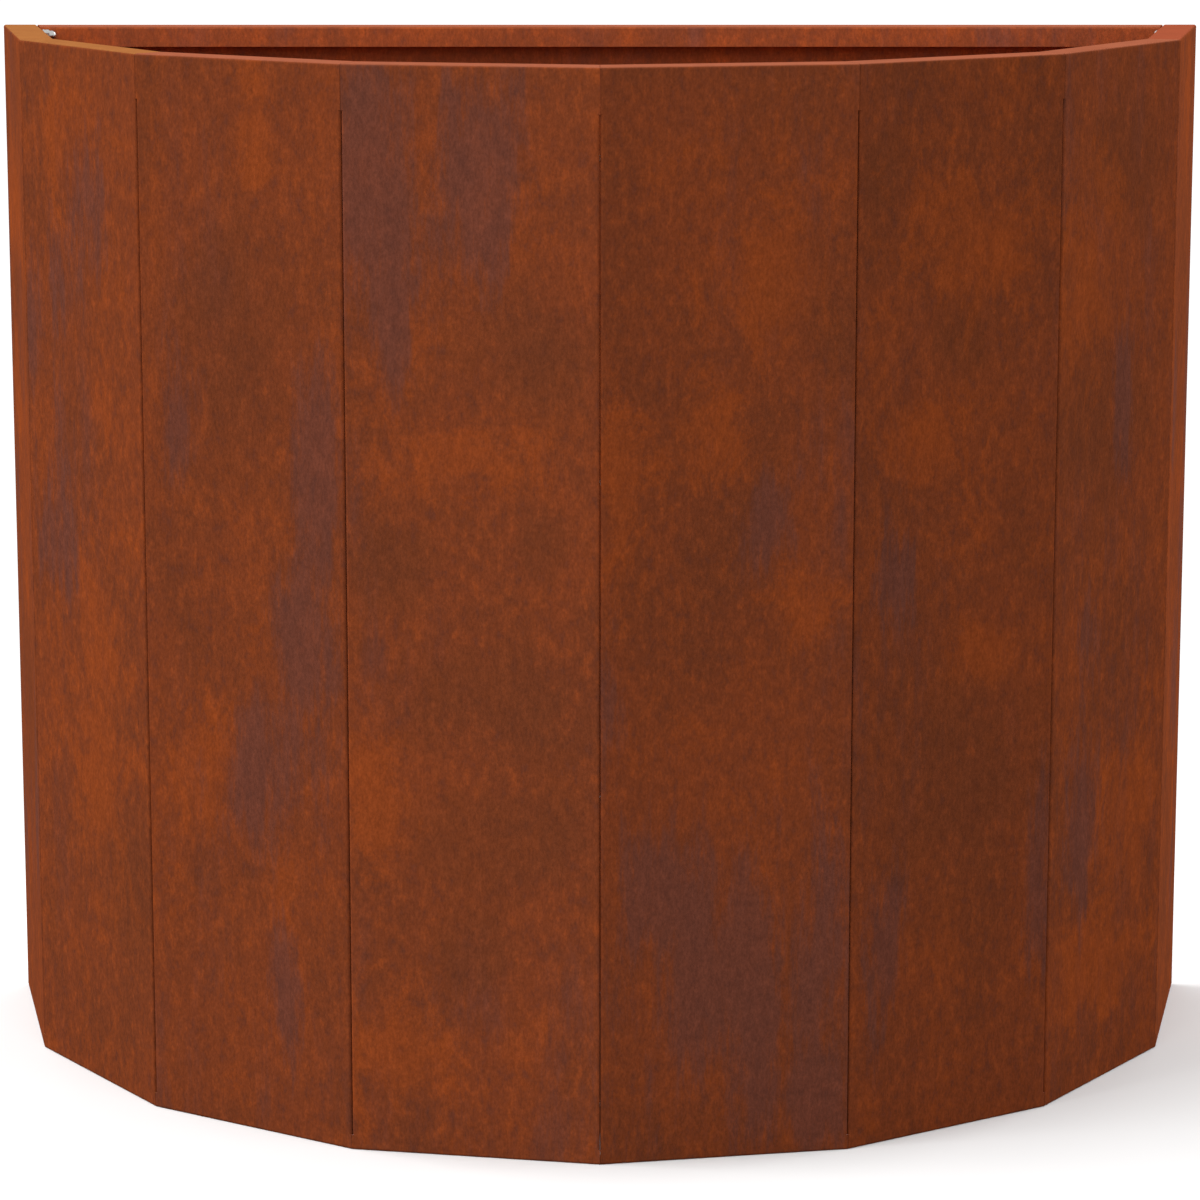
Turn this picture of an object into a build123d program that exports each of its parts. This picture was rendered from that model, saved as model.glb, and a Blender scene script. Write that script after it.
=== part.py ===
from build123d import *
import math
import os

# Half-round planter of folded weathering steel: eight facet panels and a back panel, bolted inside.
# Millimetres. X runs to the right, Y to the back, Z up. The origin is the middle of the footprint.

# Overall size
RADIUS = 600.0
HEIGHT = 1000.0
FACETS = 8

# Sheet and folds
SHEET = 2.0
BEND_INNER = 0.4
CORNER_EASE = 1.2
RIM_WIDTH = 33.0
LIP_DROP = 20.0
FOOT_WIDTH = 30.0
SEAM_FOLD_DEPTH = 30.0

# Where the side folds stop, so that they clear the foot and the rim
SEAM_FOLD_BELOW_TOP = 41.0
SEAM_FOLD_ABOVE_FLOOR = 14.0
CORNER_FOLD_FROM_END = 3.0
LIP_END_GAP = 0.6

# Clearances between panels
SEAM_GAP = 0.4
BACK_GAP = 0.4

# Bolt pattern
SEAM_BOLTS = 4
SEAM_BOLT_END_INSET = 40.0
SEAM_BOLT_FROM_FACE = 16.0
CORNER_BOLT_FROM_EDGE = 14.0
CORNER_NUT_BEHIND_LIP = 3.5
RIM_NUT_UNDER_RIM = 0.3

# M6 hardware
BOLT_DIAMETER = 6.0
BOLT_LENGTH = 12.0
BOLT_TIP_CHAMFER = 0.6
BOLT_HOLE_CLEARANCE = 0.6
THREAD_CLEARANCE = 0.2
HEAD_DIAMETER = 10.5
HEAD_HEIGHT = 3.3
HEAD_EDGE = 0.5
HEAD_CROWN_DIAMETER = 5.4
HEAD_SHOULDER_RISE = 0.62
HEAD_SHOULDER_INSET = 0.36
SOCKET_FLATS = 4.0
SOCKET_DEPTH = 2.0
WASHER_DIAMETER = 12.0
WASHER_BORE = 6.4
WASHER_THICKNESS = 1.6
NUT_FLATS = 10.0
NUT_HEX_HEIGHT = 5.0
NUT_DOME_DIAMETER = 9.5
NUT_HEIGHT = 12.0
NUT_BORE_DEPTH = 8.0
NUT_CHAMFER_ANGLE = 30.0

# Derived from the values above
STEP = 180.0 / FACETS
HALF_STEP = STEP / 2
COS_HALF = math.cos(math.radians(HALF_STEP))
SIN_HALF = math.sin(math.radians(HALF_STEP))
APOTHEM = RADIUS * COS_HALF
BACK_Y = RADIUS / 2
BEND_OUTER = BEND_INNER + SHEET
SEAM_FOLD_BOTTOM = SEAM_FOLD_ABOVE_FLOOR
SEAM_FOLD_TOP = HEIGHT - SEAM_FOLD_BELOW_TOP
CORNER_FOLD_BOTTOM = CORNER_FOLD_FROM_END
CORNER_FOLD_TOP = HEIGHT - CORNER_FOLD_FROM_END
FOLD_STUB = 2 * BEND_OUTER
HOLE_DIAMETER = BOLT_DIAMETER + BOLT_HOLE_CLEARANCE
HOLE_CUT_LENGTH = 4 * SHEET
SEAM_GRIP = 2 * SHEET + SEAM_GAP
CORNER_GRIP = 2 * SHEET + BACK_GAP
NUT_CORNERS = NUT_FLATS / math.cos(math.pi / 6)
CORNER_BOLT_FROM_BACK = RIM_WIDTH + CORNER_NUT_BEHIND_LIP + max(NUT_CORNERS, WASHER_DIAMETER) / 2
CORNER_FOLD_DEPTH = CORNER_BOLT_FROM_BACK + CORNER_BOLT_FROM_EDGE
RIM_BOLT_BELOW_TOP = SHEET + RIM_NUT_UNDER_RIM + max(NUT_CORNERS, WASHER_DIAMETER) / 2
RIM_INSIDE = APOTHEM - RIM_WIDTH


def seam_bolt_heights():
    low = SEAM_FOLD_BOTTOM + SEAM_BOLT_END_INSET
    high = SEAM_FOLD_TOP - SEAM_BOLT_END_INSET
    pitch = (high - low) / (SEAM_BOLTS - 1)
    return [low + pitch * i for i in range(SEAM_BOLTS)]


def corner_bolt_heights():
    return seam_bolt_heights() + [HEIGHT - RIM_BOLT_BELOW_TOP]


# Each facet is drawn in its own frame: the arc's centre at the origin, its outward side along +Y.
# Side 1 is its +X end, which is the left one seen from outside, and side -1 is the other end.
def facet_frame(index):
    outward = 180.0 + HALF_STEP + STEP * index
    return Location((0, BACK_Y, 0), (0, 0, outward - 90.0))


# The plane that parts two facets, as a line in plan: points p with p . normal = offset
def end_line(side):
    inward = Vector(-side * COS_HALF, SIN_HALF)
    outward = Vector(side * SIN_HALF, COS_HALF)
    return inward, outward


# The point on an end line, moved in by offset, where it meets the facet line y
def on_end_line(side, offset, y):
    return Vector(side * (y * SIN_HALF - offset) / COS_HALF, y)


def nearest_vertex(shape, point):
    return min(shape.vertices(), key=lambda v: (v.X - point.X) ** 2 + (v.Y - point.Y) ** 2)


def rounded_outline(points, outer, inner):
    outline = make_face(Polyline([(p.X, p.Y) for p in points], close=True))
    outline = fillet([nearest_vertex(outline, p) for p in outer], BEND_OUTER)
    return fillet([nearest_vertex(outline, p) for p in inner], BEND_INNER)


def slab(outline, low, high):
    return Pos(0, 0, low) * extrude(outline, high - low)


# Foot, wall, rim and rim lip: one strip folded four times, in the plane of Y and Z
def upright_profile(wall_outside):
    lip_inside = wall_outside - RIM_WIDTH
    foot_edge = wall_outside - FOOT_WIDTH
    wall_inside = wall_outside - SHEET
    under_rim = HEIGHT - SHEET
    foot_tip = Vector(foot_edge, 0)
    foot_bend = Vector(wall_outside, 0)
    rim_bend = Vector(wall_outside, HEIGHT)
    lip_bend = Vector(lip_inside, HEIGHT)
    lip_tip = Vector(lip_inside, HEIGHT - LIP_DROP)
    lip_back = Vector(lip_inside + SHEET, HEIGHT - LIP_DROP)
    lip_corner = Vector(lip_inside + SHEET, under_rim)
    rim_corner = Vector(wall_inside, under_rim)
    foot_corner = Vector(wall_inside, SHEET)
    foot_top = Vector(foot_edge, SHEET)
    points = [foot_tip, foot_bend, rim_bend, lip_bend, lip_tip]
    points += [lip_back, lip_corner, rim_corner, foot_corner, foot_top]
    return rounded_outline(points, [foot_bend, rim_bend, lip_bend], [lip_corner, rim_corner, foot_corner])


def upright_strip(wall_outside, half_length):
    profile = Plane.YZ * upright_profile(wall_outside)
    return Pos(-half_length, 0, 0) * extrude(profile, 2 * half_length)


# A block that starts at a point in plan and fills what lies beyond it, the way that away points
def block_beyond(point, away):
    plane = Plane(origin=(point.X, point.Y, HEIGHT / 2), z_dir=(away.X, away.Y, 0))
    return plane * Pos(0, 0, RIM_WIDTH / 2) * Box(2 * HEIGHT, 2 * HEIGHT, RIM_WIDTH)


# A back corner is sharp in the rim and foot folds, so its point is taken off there
def corner_ease(corner, away):
    diagonal = (Vector(0, 1) + away).normalized()
    return block_beyond(corner - diagonal * CORNER_EASE, diagonal)


# What a flat face gives up at one end, where a rounded fold takes its place
def stub_trim(end_x, side, face_y, low, high):
    width = FOLD_STUB + SHEET
    middle_x = end_x - side * FOLD_STUB + side * width / 2
    return Pos(middle_x, face_y - SHEET / 2, (low + high) / 2) * Box(width, 2 * SHEET, high - low)


# What the rim lip gives up from start_x outward, where a corner fold passes it
def lip_trim(start_x, side, lip_y, length):
    height = CORNER_FOLD_TOP - CORNER_FOLD_BOTTOM
    return Pos(start_x + side * length / 2, lip_y + SHEET / 2, HEIGHT / 2) * Box(length, 2 * SHEET, height)


# What the long strip of a facet gives up at one end
def facet_end_cutters(side, back_side):
    inward, outward = end_line(side)
    if side != back_side:
        corner = on_end_line(side, SEAM_GAP / 2, APOTHEM)
        stub = stub_trim(corner.X, side, APOTHEM, SEAM_FOLD_BOTTOM, SEAM_FOLD_TOP)
        return [block_beyond(corner, -inward), stub]
    corner = on_end_line(side, 0.0, APOTHEM)
    stub = stub_trim(corner.X, side, APOTHEM, CORNER_FOLD_BOTTOM, CORNER_FOLD_TOP)
    length = CORNER_FOLD_DEPTH / COS_HALF
    lip_start = on_end_line(side, 0.0, RIM_INSIDE).X - side * length
    lip = lip_trim(lip_start, side, RIM_INSIDE, length + SHEET)
    return [block_beyond(corner, -inward), corner_ease(corner, -inward), stub, lip]


# The L at a joint between facets: a stub of the face, the bend and the fold along the joint
def seam_fold(side):
    inward, outward = end_line(side)
    gap = SEAM_GAP / 2
    corner = on_end_line(side, gap, APOTHEM)
    tip = corner - outward * SEAM_FOLD_DEPTH
    tip_back = tip + inward * SHEET
    inner_corner = on_end_line(side, gap + SHEET, APOTHEM - SHEET)
    stub_x = corner.X - side * FOLD_STUB
    points = [Vector(stub_x, APOTHEM), corner, tip, tip_back, inner_corner, Vector(stub_x, APOTHEM - SHEET)]
    outline = rounded_outline(points, [corner], [inner_corner])
    return slab(outline, SEAM_FOLD_BOTTOM, SEAM_FOLD_TOP)


def seam_holes(side):
    inward, outward = end_line(side)
    place = on_end_line(side, 0.0, APOTHEM) - outward * SEAM_BOLT_FROM_FACE
    holes = []
    for height in seam_bolt_heights():
        plane = Plane(origin=(place.X, place.Y, height), z_dir=(inward.X, inward.Y, 0))
        holes.append(plane * Cylinder(HOLE_DIAMETER / 2, HOLE_CUT_LENGTH))
    return holes


# The box post at the back edge: a fold in the back plane, and a return that runs forward from it
def corner_outline(side):
    corner = on_end_line(side, 0.0, APOTHEM)
    turn = on_end_line(side, 0.0, RIM_INSIDE)
    return_tip = turn - Vector(side * CORNER_FOLD_DEPTH / COS_HALF, 0)
    return_tip_back = return_tip + Vector(0, SHEET)
    turn_inside = on_end_line(side, SHEET, RIM_INSIDE + SHEET)
    corner_inside = on_end_line(side, SHEET, APOTHEM - SHEET)
    stub_x = corner.X - side * FOLD_STUB
    points = [Vector(stub_x, APOTHEM), corner, turn, return_tip, return_tip_back]
    points += [turn_inside, corner_inside, Vector(stub_x, APOTHEM - SHEET)]
    return rounded_outline(points, [corner, turn], [turn_inside, corner_inside])


def corner_post(side):
    return slab(corner_outline(side), CORNER_FOLD_BOTTOM, CORNER_FOLD_TOP)


# A place on the inside face of the rim lip or corner return, as far in front of the back as asked
def corner_place(side, from_back):
    turn = on_end_line(side, 0.0, RIM_INSIDE)
    return turn - Vector(side * from_back / COS_HALF, 0)


def corner_holes(side):
    place = corner_place(side, CORNER_BOLT_FROM_BACK)
    holes = []
    for height in corner_bolt_heights():
        plane = Plane(origin=(place.X, place.Y, height), z_dir=(0, 1, 0))
        holes.append(plane * Cylinder(HOLE_DIAMETER / 2, HOLE_CUT_LENGTH))
    return holes


def facet_panel(index):
    back_side = {0: 1, FACETS - 1: -1}.get(index, 0)
    seams = [side for side in (-1, 1) if side != back_side]
    strip = upright_strip(APOTHEM, RADIUS * SIN_HALF + SHEET)
    folds = [seam_fold(side) for side in seams]
    holes = sum([seam_holes(side) for side in seams], [])
    if back_side:
        folds.append(corner_post(back_side))
        holes += corner_holes(back_side)
    trimmed = strip - (facet_end_cutters(-1, back_side) + facet_end_cutters(1, back_side))
    return facet_frame(index) * (trimmed + folds - holes)


# The back panel is drawn like a facet, with its outside at y = 0 and its inside towards -Y
def back_half_width(from_back):
    return (RIM_INSIDE - BACK_GAP - from_back * SIN_HALF) / COS_HALF


def back_end_cutters(side):
    corner = Vector(side * back_half_width(0), 0)
    away = Vector(side * COS_HALF, -SIN_HALF)
    stub = stub_trim(corner.X, side, 0.0, CORNER_FOLD_BOTTOM, CORNER_FOLD_TOP)
    notch = SHEET / COS_HALF + LIP_END_GAP
    lip_start = side * (back_half_width(RIM_WIDTH) - notch)
    lip = lip_trim(lip_start, side, -RIM_WIDTH, notch + SHEET)
    return [block_beyond(corner, away), corner_ease(corner, away), stub, lip]


def back_side_fold(side):
    outward = Vector(side * COS_HALF, -SIN_HALF)
    corner = Vector(side * back_half_width(0), 0)
    tip = Vector(side * back_half_width(CORNER_FOLD_DEPTH), -CORNER_FOLD_DEPTH)
    tip_back = tip - outward * SHEET
    inner_half = back_half_width(SHEET) - SHEET / COS_HALF
    inner_corner = Vector(side * inner_half, -SHEET)
    stub_x = corner.X - side * FOLD_STUB
    points = [Vector(stub_x, 0), corner, tip, tip_back, inner_corner, Vector(stub_x, -SHEET)]
    outline = rounded_outline(points, [corner], [inner_corner])
    return slab(outline, CORNER_FOLD_BOTTOM, CORNER_FOLD_TOP)


def back_holes(side):
    outward = Vector(side * COS_HALF, -SIN_HALF)
    place = Vector(side * back_half_width(CORNER_BOLT_FROM_BACK), -CORNER_BOLT_FROM_BACK)
    holes = []
    for height in corner_bolt_heights():
        plane = Plane(origin=(place.X, place.Y, height), z_dir=(outward.X, outward.Y, 0))
        holes.append(plane * Cylinder(HOLE_DIAMETER / 2, HOLE_CUT_LENGTH))
    return holes


def back_panel():
    strip = upright_strip(0.0, back_half_width(0) + SHEET)
    trimmed = strip - (back_end_cutters(-1) + back_end_cutters(1))
    folded = trimmed + [back_side_fold(-1), back_side_fold(1)]
    drilled = folded - (back_holes(-1) + back_holes(1))
    return Pos(0, BACK_Y, 0) * drilled


# Hardware is drawn along +Z, with the bearing face of the head or nut at z = 0
def hexagon(flats):
    return RegularPolygon(flats / 2, 6, major_radius=False)


def button_bolt():
    edge = HEAD_DIAMETER / 2
    crown = HEAD_CROWN_DIAMETER / 2
    outline = Polyline((crown, HEAD_HEIGHT), (0, HEAD_HEIGHT), (0, 0), (edge, 0), (edge, HEAD_EDGE))
    rise = (HEAD_HEIGHT - HEAD_EDGE) * HEAD_SHOULDER_RISE
    middle = (edge - (edge - crown) * HEAD_SHOULDER_INSET, HEAD_EDGE + rise)
    shoulder = ThreePointArc((edge, HEAD_EDGE), middle, (crown, HEAD_HEIGHT))
    head = revolve(Plane.XZ * make_face(outline + shoulder), Axis.Z)
    socket = slab(hexagon(SOCKET_FLATS), HEAD_HEIGHT - SOCKET_DEPTH, HEAD_HEIGHT + SOCKET_DEPTH)
    shank = Pos(0, 0, -BOLT_LENGTH / 2) * Cylinder(BOLT_DIAMETER / 2, BOLT_LENGTH)
    return head - socket + chamfer(shank.edges().group_by(Axis.Z)[0], BOLT_TIP_CHAMFER)


def washer():
    ring = Circle(WASHER_DIAMETER / 2) - Circle(WASHER_BORE / 2)
    return extrude(ring, WASHER_THICKNESS)


def domed_nut():
    dome = NUT_DOME_DIAMETER / 2
    body = extrude(hexagon(NUT_FLATS), NUT_HEX_HEIGHT)
    corner_cut = (NUT_CORNERS - NUT_FLATS) / 2
    cone_drop = corner_cut * math.tan(math.radians(NUT_CHAMFER_ANGLE))
    rounding = Pos(0, 0, NUT_HEX_HEIGHT / 2) * Cylinder(NUT_CORNERS / 2, NUT_HEX_HEIGHT)
    rounding = chamfer(rounding.edges().filter_by(GeomType.CIRCLE), cone_drop, corner_cut)
    dome_centre = NUT_HEIGHT - dome
    cap = Pos(0, 0, dome_centre / 2) * Cylinder(dome, dome_centre)
    cap += Pos(0, 0, dome_centre) * Sphere(dome)
    bore = Pos(0, 0, NUT_BORE_DEPTH / 2) * Cylinder((BOLT_DIAMETER + THREAD_CLEARANCE) / 2, NUT_BORE_DEPTH)
    return (body & rounding) + cap - bore


# Every joint is a list of planes: the origin is where the bolt head bears, and +Z leads out of the head
def seam_bolt_planes(joint):
    direction = 180.0 + STEP * joint
    outward = Vector(math.cos(math.radians(direction)), math.sin(math.radians(direction)))
    along = Vector(outward.Y, -outward.X)
    place = outward * (RADIUS - SEAM_BOLT_FROM_FACE) + along * (SEAM_GRIP / 2)
    place = place + Vector(0, BACK_Y)
    heights = seam_bolt_heights()
    return [Plane(origin=(place.X, place.Y, z), z_dir=(along.X, along.Y, 0)) for z in heights]


def corner_bolt_planes(index, head_inside):
    side = {0: 1, FACETS - 1: -1}[index]
    frame = facet_frame(index)
    lip_inside = corner_place(side, CORNER_BOLT_FROM_BACK).Y
    inner_face = lip_inside - SHEET - BACK_GAP
    outer_face = lip_inside + SHEET
    x = corner_place(side, CORNER_BOLT_FROM_BACK).X
    y = inner_face if head_inside else outer_face
    turn = -1 if head_inside else 1
    heights = corner_bolt_heights()
    return [Plane(frame * Plane(origin=(x, y, z), z_dir=(0, turn, 0)).location) for z in heights]


def washer_planes(bolt_planes, grip):
    return [plane.offset(-grip - WASHER_THICKNESS) for plane in bolt_planes]


def nut_planes(bolt_planes, grip):
    seats = [plane.offset(-grip - WASHER_THICKNESS) for plane in bolt_planes]
    return [Plane(origin=seat.origin, x_dir=seat.x_dir, z_dir=-seat.z_dir) for seat in seats]


def copies(piece, planes):
    return Compound(children=[plane * piece for plane in planes])


def joint_hardware(name, planes, grip):
    return {
        name + "_bolts": copies(button_bolt(), planes),
        name + "_washers": copies(washer(), washer_planes(planes, grip)),
        name + "_nuts": copies(domed_nut(), nut_planes(planes, grip)),
    }


def panel_name(index):
    ends = {0: "left_end_panel", FACETS - 1: "right_end_panel"}
    return ends.get(index, "front_panel_" + str(index))


def build_parts():
    parts = {panel_name(index): facet_panel(index) for index in range(FACETS)}
    parts["back_panel"] = back_panel()
    for joint in range(1, FACETS):
        parts.update(joint_hardware("seam_" + str(joint), seam_bolt_planes(joint), SEAM_GRIP))
    parts.update(joint_hardware("left_corner", corner_bolt_planes(0, False), CORNER_GRIP))
    parts.update(joint_hardware("right_corner", corner_bolt_planes(FACETS - 1, True), CORNER_GRIP))
    return parts


os.makedirs("parts", exist_ok=True)
for part_name, shape in build_parts().items():
    shape.label = part_name
    export_step(shape, os.path.join("parts", part_name + ".step"))
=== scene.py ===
import math
import bpy
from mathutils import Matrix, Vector


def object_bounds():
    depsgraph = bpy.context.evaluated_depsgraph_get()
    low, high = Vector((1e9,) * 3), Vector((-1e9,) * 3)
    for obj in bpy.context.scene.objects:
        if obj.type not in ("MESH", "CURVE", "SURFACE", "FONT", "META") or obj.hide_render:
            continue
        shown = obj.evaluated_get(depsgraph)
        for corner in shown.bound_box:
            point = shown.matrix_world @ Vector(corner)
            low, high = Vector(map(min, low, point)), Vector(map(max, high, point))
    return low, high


# Half-round planter of folded weathering steel, in a plain pale studio. Metres, in the frame of the CAD.

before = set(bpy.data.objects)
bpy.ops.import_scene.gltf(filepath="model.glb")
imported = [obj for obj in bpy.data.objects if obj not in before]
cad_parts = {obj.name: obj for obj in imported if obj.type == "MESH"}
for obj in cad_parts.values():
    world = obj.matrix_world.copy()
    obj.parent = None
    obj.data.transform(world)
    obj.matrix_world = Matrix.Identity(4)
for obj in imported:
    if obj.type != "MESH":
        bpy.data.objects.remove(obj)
cad_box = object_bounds()

# Plan of the planter: the facets are numbered from its left end to its right end
BACK_Y = cad_box[1].y
ARC_CENTRE = (0.0, BACK_Y, 0.0)
FACETS = 8
STEP_DEGREES = 180.0 / FACETS
FACET_NAMES = ["left_end_panel"] + ["front_panel_%d" % i for i in range(1, FACETS - 1)] + ["right_end_panel"]
UP = (0.0, 0.0, 1.0)
FORWARD = (0.0, -1.0, 0.0)

# The camera keeps the photograph's distance. Its lens isn't shifted, so it stands a little lower and looks down
CAMERA_BEFORE_BACK = 4.4486
CAMERA_HEIGHT = 1.275
CAMERA_TILT_DEGREES = 11.0
LENS_MM = 131.8
SENSOR_MM = 36.0
CLIP_NEAR = 0.1
CLIP_FAR = 200.0

# Rust colours, linear
EARTH = (0.192, 0.0440, 0.0152)
UMBER = (0.134, 0.0360, 0.0148)
EMBER = (0.285, 0.0570, 0.0118)
SLATE = (0.122, 0.0430, 0.0310)

# The rims' tops are painted paler, a painted sheen that stands in for the grazing reflection on them: ochre at
# the left end, rosy at the right end
RIM_SHEEN_OCHRE = (0.325, 0.125, 0.0370)
RIM_SHEEN_TAN = (0.310, 0.093, 0.0480)
RIM_SHEEN_ROSE = (0.290, 0.066, 0.0310)
RIM_SHEEN_COLOURS = [RIM_SHEEN_OCHRE, RIM_SHEEN_OCHRE, RIM_SHEEN_TAN, RIM_SHEEN_TAN, RIM_SHEEN_TAN, RIM_SHEEN_TAN, RIM_SHEEN_TAN, RIM_SHEEN_ROSE]

# How light each facet's sheet is against the others
TONES = [1.05, 0.98, 0.99, 1.12, 1.00, 0.88, 0.88, 1.12]

# The inside faces are painted brighter, a painted light that stands in for the bounce light inside the planter
PAINTED_INSIDE_LIGHT = 2.2

# Noises on the sheets, with about as many forms in a metre as the scale says
CLOUDS = {"scale": 7.0, "detail": 10.0, "roughness": 0.76, "distortion": 0.3}
BLOTS = {"scale": 18.0, "detail": 9.0, "roughness": 0.80, "distortion": 0.4}
STREAKS = {"scale": 28.0, "detail": 9.0, "roughness": 0.76, "distortion": 0.1}
LULLS = {"scale": 4.0, "detail": 3.0, "roughness": 0.5}
GRAIN = {"scale": 420.0, "detail": 4.0, "roughness": 0.75}
FLECKS = {"scale": 120.0, "detail": 3.0, "roughness": 0.65}

# The noises are squeezed in height, which draws their forms out upwards
BLOT_SQUEEZE = 0.6
STREAK_SQUEEZE = 0.16
GRAIN_SQUEEZE = 0.5
FLECK_SQUEEZE = 0.55

# Each sheet takes its rust from another place in the noises
SEED_STEP = 11.3
BACK_SEED = 117.0
SEED_DIRECTION = (1.0, 0.37, 0.71)
STREAK_SHIFT = (3.1, 0.0, 0.0)

# Ramps that mix the colours: where they begin and end, and what they give at the two ends
EARTH_BY_CLOUD = (0.36, 0.60, 0.4, 1.0)
EMBER_BY_BLOT = (0.46, 0.70, 0.0, 0.6)
EMBER_BY_FLECK = (0.50, 0.78, 0.0, 0.45)
SLATE_BY_FLECK = (0.24, 0.48, 0.36, 0.0)
VEIL_BY_STREAK = (0.46, 0.68, 0.0, 1.0)
VEIL_BY_LULL = (0.42, 0.60, 0.0, 1.0)
VEIL_STRENGTH = 0.55

# Ramps that lighten and darken, written the same way
SHADE_BY_GRAIN = (0.25, 0.75, 0.80, 1.20)
SHADE_BY_FLECK = (0.22, 0.78, 0.88, 1.12)
# Painted light: faces turned inwards are painted brighter
PAINTED_LIGHT_BY_INWARD = (0.6, 0.95, 1.0, PAINTED_INSIDE_LIGHT)
# Painted sheen: faces turned upwards take the paler rim colour, broken up by the blots
SHEEN_BY_UPWARD = (0.5, 0.95, 0.0, 1.0)
SHEEN_BY_BLOT = (0.3, 0.7, 0.7, 1.0)
ROUGHNESS_BY_BLOT = (0.2, 0.8, 0.75, 0.95)
BUMP_STRENGTH = 0.2
BUMP_DEPTH = 0.0004

# Patches fade out over this ramp of their radius, which the noise makes ragged
FADE_BY_RADIUS = (0.4, 1.7, 1.0, 0.0)
NOISE_MIDDLE = 0.5
RAGGEDNESS = 8.0
ANY_DEPTH = 1000.0
UMBER_PATCH_STRENGTH = 0.6
EMBER_PATCH_STRENGTH = 0.45
SLATE_PATCH_STRENGTH = 0.65

# Patches read off each facet: metres from its centre line, height, half width, half height
SLATE_PATCHES = {
    1: [(0.017, 0.86, 0.025, 0.06), (-0.09, 0.75, 0.025, 0.06), (-0.068, 0.53, 0.025, 0.05)],
    2: [(0.086, 0.65, 0.020, 0.08), (-0.073, 0.65, 0.015, 0.05), (0.063, 0.48, 0.024, 0.05),
        (0.021, 0.35, 0.040, 0.06), (0.045, 0.14, 0.018, 0.05)],
    3: [(-0.091, 0.90, 0.033, 0.11), (0.006, 0.92, 0.037, 0.07), (-0.077, 0.785, 0.020, 0.05)],
    4: [(0.032, 0.595, 0.023, 0.04), (-0.109, 0.42, 0.012, 0.06), (0.013, 0.17, 0.090, 0.11),
        (-0.062, 0.24, 0.037, 0.07), (0.07, 0.055, 0.046, 0.05)],
    5: [(-0.073, 0.535, 0.018, 0.03), (-0.079, 0.17, 0.018, 0.06), (0.1, 0.225, 0.014, 0.07)],
    6: [(0.017, 0.675, 0.020, 0.06), (-0.047, 0.445, 0.017, 0.05), (-0.047, 0.265, 0.030, 0.07)],
}
UMBER_PATCHES = {
    1: [(0.07, 0.215, 0.050, 0.05)],
    2: [(-0.01, 0.75, 0.050, 0.08)],
    3: [(0.062, 0.75, 0.046, 0.04), (0.062, 0.575, 0.025, 0.025), (-0.077, 0.55, 0.037, 0.03),
        (0.025, 0.43, 0.083, 0.045), (0.044, 0.295, 0.075, 0.04), (0.006, 0.185, 0.030, 0.04)],
    4: [(0.088, 0.775, 0.033, 0.04)],
    5: [(-0.096, 0.90, 0.024, 0.03), (-0.007, 0.75, 0.036, 0.03), (0.023, 0.335, 0.070, 0.07)],
    6: [(-0.025, 0.655, 0.075, 0.07), (0.006, 0.895, 0.064, 0.06)],
}
EMBER_PATCHES = {
    1: [(0.017, 0.37, 0.050, 0.14), (-0.04, 0.91, 0.030, 0.05)],
    2: [(0.02, 0.94, 0.014, 0.06), (-0.05, 0.33, 0.030, 0.05), (0.039, 0.23, 0.014, 0.03)],
    3: [(-0.068, 0.085, 0.042, 0.05), (-0.096, 0.34, 0.023, 0.06), (-0.02, 0.65, 0.055, 0.03)],
    4: [(0.05, 0.82, 0.037, 0.06), (-0.099, 0.62, 0.014, 0.06), (-0.034, 0.675, 0.037, 0.04),
        (0.07, 0.51, 0.028, 0.03)],
    5: [(0.01, 0.84, 0.070, 0.05), (-0.037, 0.65, 0.042, 0.04), (0.04, 0.455, 0.030, 0.02)],
    6: [(-0.057, 0.79, 0.053, 0.07), (0.049, 0.225, 0.053, 0.09), (-0.015, 0.12, 0.085, 0.04)],
}

# The end panels show edge on in the photograph, so they take over another facet's patches
PATCHES_LIKE = {0: 5, 7: 2}

# Stainless steel of the fasteners, linear
STEEL_DARK = (0.42, 0.42, 0.41)
STEEL_LIGHT = (0.58, 0.57, 0.55)
STEEL_MARKS = {"scale": 900.0, "detail": 3.0, "roughness": 0.6}
LIGHT_BY_MARK = (0.3, 0.7, 0.0, 1.0)
ROUGHNESS_BY_MARK = (0.3, 0.7, 0.2, 0.34)

# Studio: the soft light from all sides is a little weaker than the white that the camera sees
WHITE = (1.0, 1.0, 1.0, 1.0)
SOFT_STRENGTH = 0.9
WHITE_STRENGTH = 1.0

# The floor throws back less light than it shows, and the ground inside the planter is painted dark for the
# camera, a painted shade
FLOOR_HALF_SIZE = 60.0
FLOOR_SHOWN = (0.88, 0.88, 0.88)
FLOOR_THROWN_BACK = (0.40, 0.39, 0.38)
FLOOR_ROUGHNESS = 0.9
GROUND_INSIDE_PAINTED_SHADE = (0.07, 0.06, 0.05)
PAINTED_SHADE_BY_RADIUS = (0.50, 0.53, 1.0, 0.0)
PAINTED_SHADE_BY_Y = (BACK_Y - 0.04, BACK_Y - 0.02, 1.0, 0.0)
PAPER_BY_RADIUS = (0.62, 1.1, 0.0, 0.7)


def new_material(name):
    material = bpy.data.materials.new(name)
    material.use_nodes = True
    tree = material.node_tree
    return material, tree, tree.nodes["Principled BSDF"]


def add(tree, kind, **settings):
    node = tree.nodes.new(kind)
    for key, value in settings.items():
        setattr(node, key, value)
    return node


def link(tree, source, target):
    tree.links.new(source, target)


def noise(tree, vector, scale, detail, roughness, distortion=0.0):
    node = add(tree, "ShaderNodeTexNoise")
    node.inputs["Scale"].default_value = scale
    node.inputs["Detail"].default_value = detail
    node.inputs["Roughness"].default_value = roughness
    node.inputs["Distortion"].default_value = distortion
    link(tree, vector, node.inputs["Vector"])
    return node.outputs["Fac"]


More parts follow.
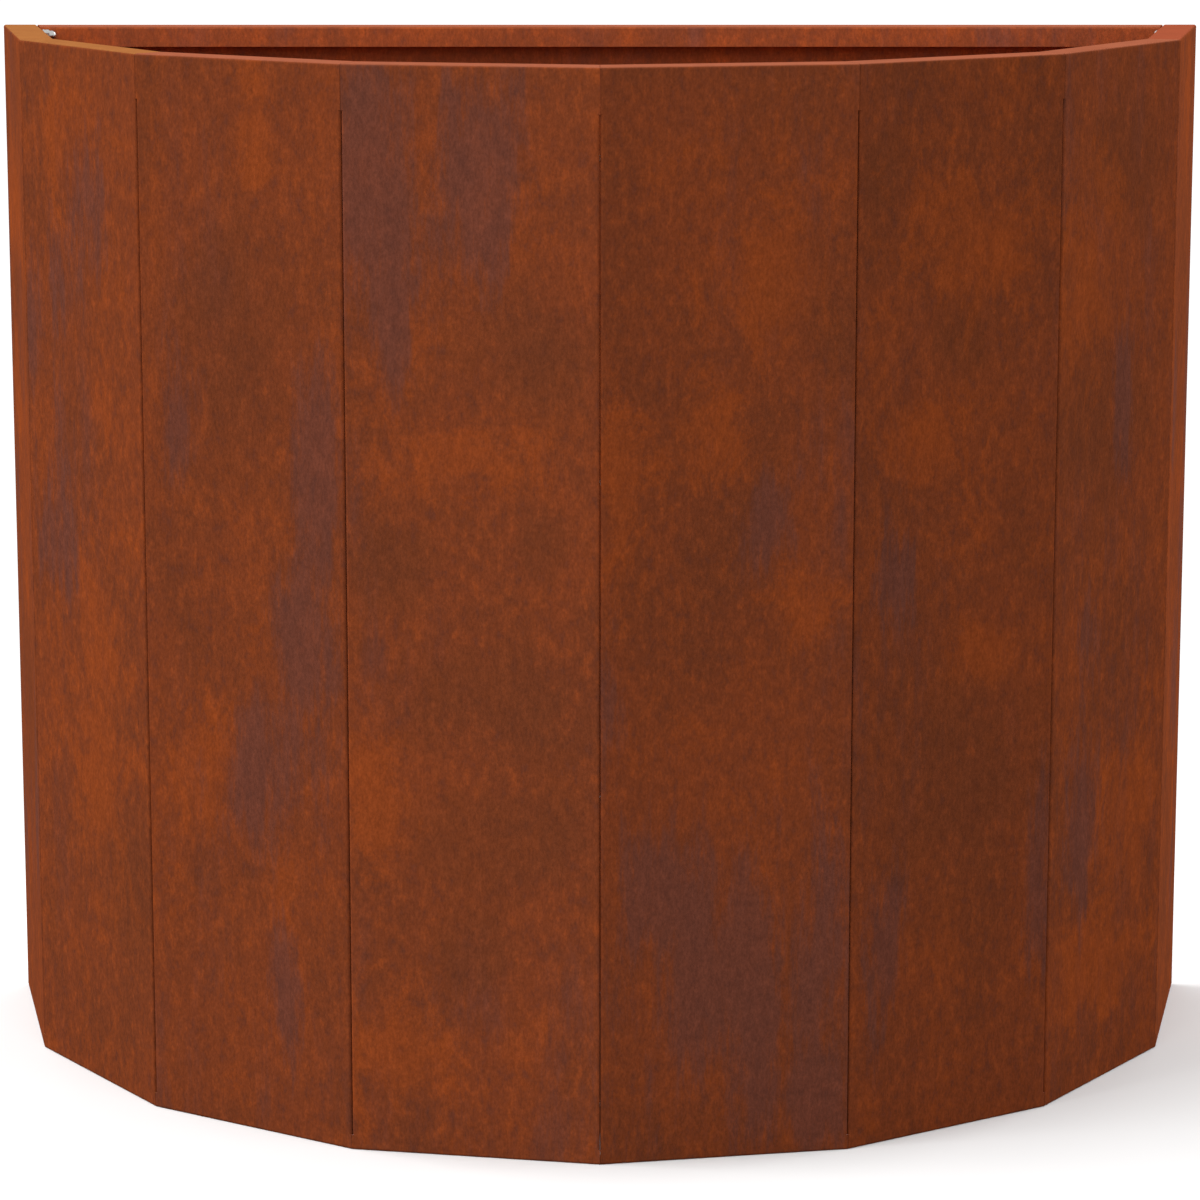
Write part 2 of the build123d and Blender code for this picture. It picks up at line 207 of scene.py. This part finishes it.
def shifted(tree, vector, shift=(0.0, 0.0, 0.0), squeeze=1.0):
    node = add(tree, "ShaderNodeMapping")
    node.inputs["Location"].default_value = shift
    node.inputs["Scale"].default_value = (1.0, 1.0, squeeze)
    link(tree, vector, node.inputs["Vector"])
    return node.outputs["Vector"]


def ramp(tree, value, begin, end, at_begin, at_end):
    node = add(tree, "ShaderNodeMapRange", interpolation_type="SMOOTHSTEP")
    node.inputs["From Min"].default_value = begin
    node.inputs["From Max"].default_value = end
    node.inputs["To Min"].default_value = at_begin
    node.inputs["To Max"].default_value = at_end
    link(tree, value, node.inputs["Value"])
    return node.outputs["Result"]


def mix(tree, factor, colour_a, colour_b):
    node = add(tree, "ShaderNodeMix", data_type="RGBA")
    link(tree, factor, node.inputs["Factor"])
    sockets = [socket for socket in node.inputs if socket.type == "RGBA"]
    for socket, value in zip(sockets, (colour_a, colour_b)):
        if isinstance(value, tuple):
            socket.default_value = (*value, 1.0)
        else:
            link(tree, value, socket)
    return [socket for socket in node.outputs if socket.type == "RGBA"][0]


def maths(tree, operation, first, second):
    node = add(tree, "ShaderNodeMath", operation=operation)
    for socket, value in zip(node.inputs, (first, second)):
        if isinstance(value, float):
            socket.default_value = value
        else:
            link(tree, value, socket)
    return node.outputs["Value"]


# How squarely a surface faces one direction, as the given ramp
def facing(tree, coords, direction, limits):
    along = add(tree, "ShaderNodeVectorMath", operation="DOT_PRODUCT")
    link(tree, coords.outputs["Normal"], along.inputs[0])
    along.inputs[1].default_value = direction
    return ramp(tree, along.outputs["Value"], *limits)


# A facet's own coordinates: x across it, y through it and z up, from the foot of the arc's axis
def facet_space(tree, coords, turn):
    turned = add(tree, "ShaderNodeMapping", vector_type="TEXTURE")
    turned.inputs["Location"].default_value = ARC_CENTRE
    turned.inputs["Rotation"].default_value = (0.0, 0.0, turn)
    link(tree, coords.outputs["Object"], turned.inputs["Vector"])
    return turned.outputs["Vector"]


def ragged_edge(tree, pattern):
    return maths(tree, "MULTIPLY", maths(tree, "SUBTRACT", NOISE_MIDDLE, pattern), RAGGEDNESS)


# Soft-edged patches with ragged outlines, all of one kind, as one mask
def patch_mask(tree, local, ragged, patches):
    mask = None
    for across, height, half_width, half_height in patches:
        place = add(tree, "ShaderNodeMapping", vector_type="TEXTURE")
        place.inputs["Location"].default_value = (across, 0.0, height)
        place.inputs["Scale"].default_value = (half_width, ANY_DEPTH, half_height)
        link(tree, local, place.inputs["Vector"])
        reach = add(tree, "ShaderNodeVectorMath", operation="LENGTH")
        link(tree, place.outputs["Vector"], reach.inputs[0])
        edge = maths(tree, "ADD", reach.outputs["Value"], ragged)
        patch = ramp(tree, edge, *FADE_BY_RADIUS)
        mask = patch if mask is None else maths(tree, "MAXIMUM", mask, patch)
    return mask


def facet_turn(index):
    return math.radians(STEP_DEGREES * (index + 0.5) - 90.0)


# Rust of one sheet. The index picks a facet's patches, and the back has none
def rust(name, turn, inward, seed, tone=1.0, rim_sheen=RIM_SHEEN_TAN, index=None):
    material, tree, shader = new_material(name)
    colours = (EARTH, UMBER, EMBER, SLATE)
    earth, umber, ember, slate = [tuple(tone * c for c in colour) for colour in colours]
    coords = add(tree, "ShaderNodeTexCoord")
    local = facet_space(tree, coords, turn)
    flat = shifted(tree, local, [seed * part for part in SEED_DIRECTION])
    tall = shifted(tree, flat, squeeze=BLOT_SQUEEZE)
    clouds = noise(tree, tall, **CLOUDS)
    blots = noise(tree, tall, **BLOTS)
    lulls = noise(tree, tall, **LULLS)
    streaks = noise(tree, shifted(tree, flat, STREAK_SHIFT, STREAK_SQUEEZE), **STREAKS)
    grain = noise(tree, shifted(tree, flat, squeeze=GRAIN_SQUEEZE), **GRAIN)
    flecks = noise(tree, shifted(tree, flat, squeeze=FLECK_SQUEEZE), **FLECKS)

    base = mix(tree, ramp(tree, clouds, *EARTH_BY_CLOUD), umber, earth)
    base = mix(tree, ramp(tree, blots, *EMBER_BY_BLOT), base, ember)
    base = mix(tree, ramp(tree, flecks, *EMBER_BY_FLECK), base, ember)
    base = mix(tree, ramp(tree, flecks, *SLATE_BY_FLECK), base, slate)
    veil = maths(tree, "MULTIPLY", ramp(tree, streaks, *VEIL_BY_STREAK), ramp(tree, lulls, *VEIL_BY_LULL))
    base = mix(tree, maths(tree, "MULTIPLY", veil, VEIL_STRENGTH), base, slate)

    kin = PATCHES_LIKE.get(index, index)
    ragged = ragged_edge(tree, blots)
    combed = ragged_edge(tree, streaks)
    for patches, edge, colour, strength in (
        (UMBER_PATCHES, ragged, umber, UMBER_PATCH_STRENGTH),
        (EMBER_PATCHES, ragged, ember, EMBER_PATCH_STRENGTH),
        (SLATE_PATCHES, combed, slate, SLATE_PATCH_STRENGTH),
    ):
        if kin in patches:
            mask = patch_mask(tree, local, edge, patches[kin])
            base = mix(tree, maths(tree, "MULTIPLY", mask, strength), base, colour)

    # Painted light: faces turned inwards are painted brighter, standing in for the bounce light inside the
    # planter
    painted_inside_light = facing(tree, coords, inward, PAINTED_LIGHT_BY_INWARD)
    speckle = maths(tree, "MULTIPLY", ramp(tree, grain, *SHADE_BY_GRAIN), ramp(tree, flecks, *SHADE_BY_FLECK))
    grained = add(tree, "ShaderNodeVectorMath", operation="SCALE")
    link(tree, base, grained.inputs[0])
    link(tree, maths(tree, "MULTIPLY", painted_inside_light, speckle), grained.inputs["Scale"])
    # Painted sheen: faces turned upwards are mixed towards the paler rim colour
    sheen_on_top = facing(tree, coords, UP, SHEEN_BY_UPWARD)
    painted_sheen = maths(tree, "MULTIPLY", sheen_on_top, ramp(tree, blots, *SHEEN_BY_BLOT))
    link(tree, mix(tree, painted_sheen, grained.outputs["Vector"], rim_sheen), shader.inputs["Base Color"])

    link(tree, ramp(tree, blots, *ROUGHNESS_BY_BLOT), shader.inputs["Roughness"])
    shader.inputs["Specular IOR Level"].default_value = 0.0
    bump = add(tree, "ShaderNodeBump")
    bump.inputs["Strength"].default_value = BUMP_STRENGTH
    bump.inputs["Distance"].default_value = BUMP_DEPTH
    link(tree, grain, bump.inputs["Height"])
    link(tree, bump.outputs["Normal"], shader.inputs["Normal"])
    return material


def stainless(name):
    material, tree, shader = new_material(name)
    marks = noise(tree, add(tree, "ShaderNodeTexCoord").outputs["Object"], **STEEL_MARKS)
    colour = mix(tree, ramp(tree, marks, *LIGHT_BY_MARK), STEEL_DARK, STEEL_LIGHT)
    link(tree, colour, shader.inputs["Base Color"])
    link(tree, ramp(tree, marks, *ROUGHNESS_BY_MARK), shader.inputs["Roughness"])
    shader.inputs["Metallic"].default_value = 1.0
    return material


def dress(node_name, material):
    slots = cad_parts[node_name].data.materials
    slots.clear()
    slots.append(material)


def dress_all():
    for index, name in enumerate(FACET_NAMES):
        turn = facet_turn(index)
        inward = (-math.sin(turn), math.cos(turn), 0.0)
        seed = SEED_STEP * (index + 1)
        dress(name, rust("rust_" + name, turn, inward, seed, TONES[index], RIM_SHEEN_COLOURS[index], index))
    dress("back_panel", rust("rust_back_panel", 0.0, FORWARD, BACK_SEED))
    bright = stainless("stainless_steel")
    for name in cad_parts:
        if name not in FACET_NAMES and name != "back_panel":
            dress(name, bright)


def make_camera():
    data = bpy.data.cameras.new("photo_camera")
    camera = bpy.data.objects.new("photo_camera", data)
    bpy.context.scene.collection.objects.link(camera)
    data.sensor_width = SENSOR_MM
    data.lens = LENS_MM
    data.clip_start = CLIP_NEAR
    data.clip_end = CLIP_FAR
    camera.location = (0.0, BACK_Y - CAMERA_BEFORE_BACK, CAMERA_HEIGHT)
    camera.rotation_euler = (math.pi / 2 - math.radians(CAMERA_TILT_DEGREES), 0.0, 0.0)
    bpy.context.scene.camera = camera


# A distant lamp. Its side is counted in degrees clockwise from behind the camera, seen from above
def distant_lamp(name, side_degrees, height_degrees, strength, spread_degrees):
    data = bpy.data.lights.new(name, "SUN")
    data.energy = strength
    data.angle = math.radians(spread_degrees)
    lamp = bpy.data.objects.new(name, data)
    bpy.context.scene.collection.objects.link(lamp)
    side = math.radians(side_degrees)
    rise = math.radians(height_degrees)
    towards = Vector((-math.sin(side) * math.cos(rise), -math.cos(side) * math.cos(rise), math.sin(rise)))
    lamp.rotation_euler = (-towards).to_track_quat("-Z", "Y").to_euler()


# 1 for rays that show the background: straight from the camera, or by way of metal
def seen_ray(tree):
    rays = add(tree, "ShaderNodeLightPath")
    shown = maths(tree, "MAXIMUM", rays.outputs["Is Camera Ray"], rays.outputs["Is Glossy Ray"])
    return maths(tree, "MAXIMUM", shown, rays.outputs["Is Transmission Ray"])


def make_lights():
    distant_lamp("key_left", side_degrees=88.0, height_degrees=50.0, strength=2.3, spread_degrees=50.0)
    distant_lamp("rim_right", side_degrees=-118.0, height_degrees=25.0, strength=1.2, spread_degrees=45.0)
    world = bpy.data.worlds.new("studio")
    bpy.context.scene.world = world
    world.use_nodes = True
    tree = world.node_tree
    soft = tree.nodes["Background"]
    soft.inputs["Color"].default_value = WHITE
    soft.inputs["Strength"].default_value = SOFT_STRENGTH
    white = add(tree, "ShaderNodeBackground")
    white.inputs["Color"].default_value = WHITE
    white.inputs["Strength"].default_value = WHITE_STRENGTH
    chooser = add(tree, "ShaderNodeMixShader")
    link(tree, seen_ray(tree), chooser.inputs[0])
    link(tree, soft.outputs[0], chooser.inputs[1])
    link(tree, white.outputs[0], chooser.inputs[2])
    link(tree, chooser.outputs[0], tree.nodes["World Output"].inputs["Surface"])


# Pale floor that keeps the shadow near the planter and fades towards plain white away from it
def floor_material():
    material, tree, shader = new_material("pale_floor")
    place = add(tree, "ShaderNodeTexCoord").outputs["Object"]
    seen = seen_ray(tree)
    split = add(tree, "ShaderNodeSeparateXYZ")
    link(tree, place, split.inputs[0])
    away = add(tree, "ShaderNodeVectorMath", operation="DISTANCE")
    link(tree, place, away.inputs[0])
    away.inputs[1].default_value = ARC_CENTRE
    # Painted shade: the ground inside the planter shows dark to the camera
    near = ramp(tree, away.outputs["Value"], *PAINTED_SHADE_BY_RADIUS)
    painted_shade_inside = maths(tree, "MULTIPLY", near, ramp(tree, split.outputs["Y"], *PAINTED_SHADE_BY_Y))
    shown = mix(tree, painted_shade_inside, FLOOR_SHOWN, GROUND_INSIDE_PAINTED_SHADE)
    link(tree, mix(tree, seen, FLOOR_THROWN_BACK, shown), shader.inputs["Base Color"])
    shader.inputs["Roughness"].default_value = FLOOR_ROUGHNESS
    shader.inputs["Specular IOR Level"].default_value = 0.0
    paper = add(tree, "ShaderNodeEmission")
    paper.inputs["Color"].default_value = WHITE
    paper.inputs["Strength"].default_value = WHITE_STRENGTH
    blend = add(tree, "ShaderNodeMixShader")
    clear = ramp(tree, away.outputs["Value"], *PAPER_BY_RADIUS)
    link(tree, maths(tree, "MULTIPLY", seen, clear), blend.inputs[0])
    link(tree, shader.outputs[0], blend.inputs[1])
    link(tree, paper.outputs[0], blend.inputs[2])
    link(tree, blend.outputs[0], tree.nodes["Material Output"].inputs["Surface"])
    return material


def make_floor():
    mesh = bpy.data.meshes.new("studio_floor")
    half = FLOOR_HALF_SIZE
    corners = [(-half, -half, 0), (half, -half, 0), (half, half, 0), (-half, half, 0)]
    mesh.from_pydata(corners, [], [(0, 1, 2, 3)])
    floor = bpy.data.objects.new("studio_floor", mesh)
    bpy.context.scene.collection.objects.link(floor)
    mesh.materials.append(floor_material())


dress_all()
make_camera()
make_lights()
make_floor()

bpy.context.scene.view_settings.view_transform = "Standard"
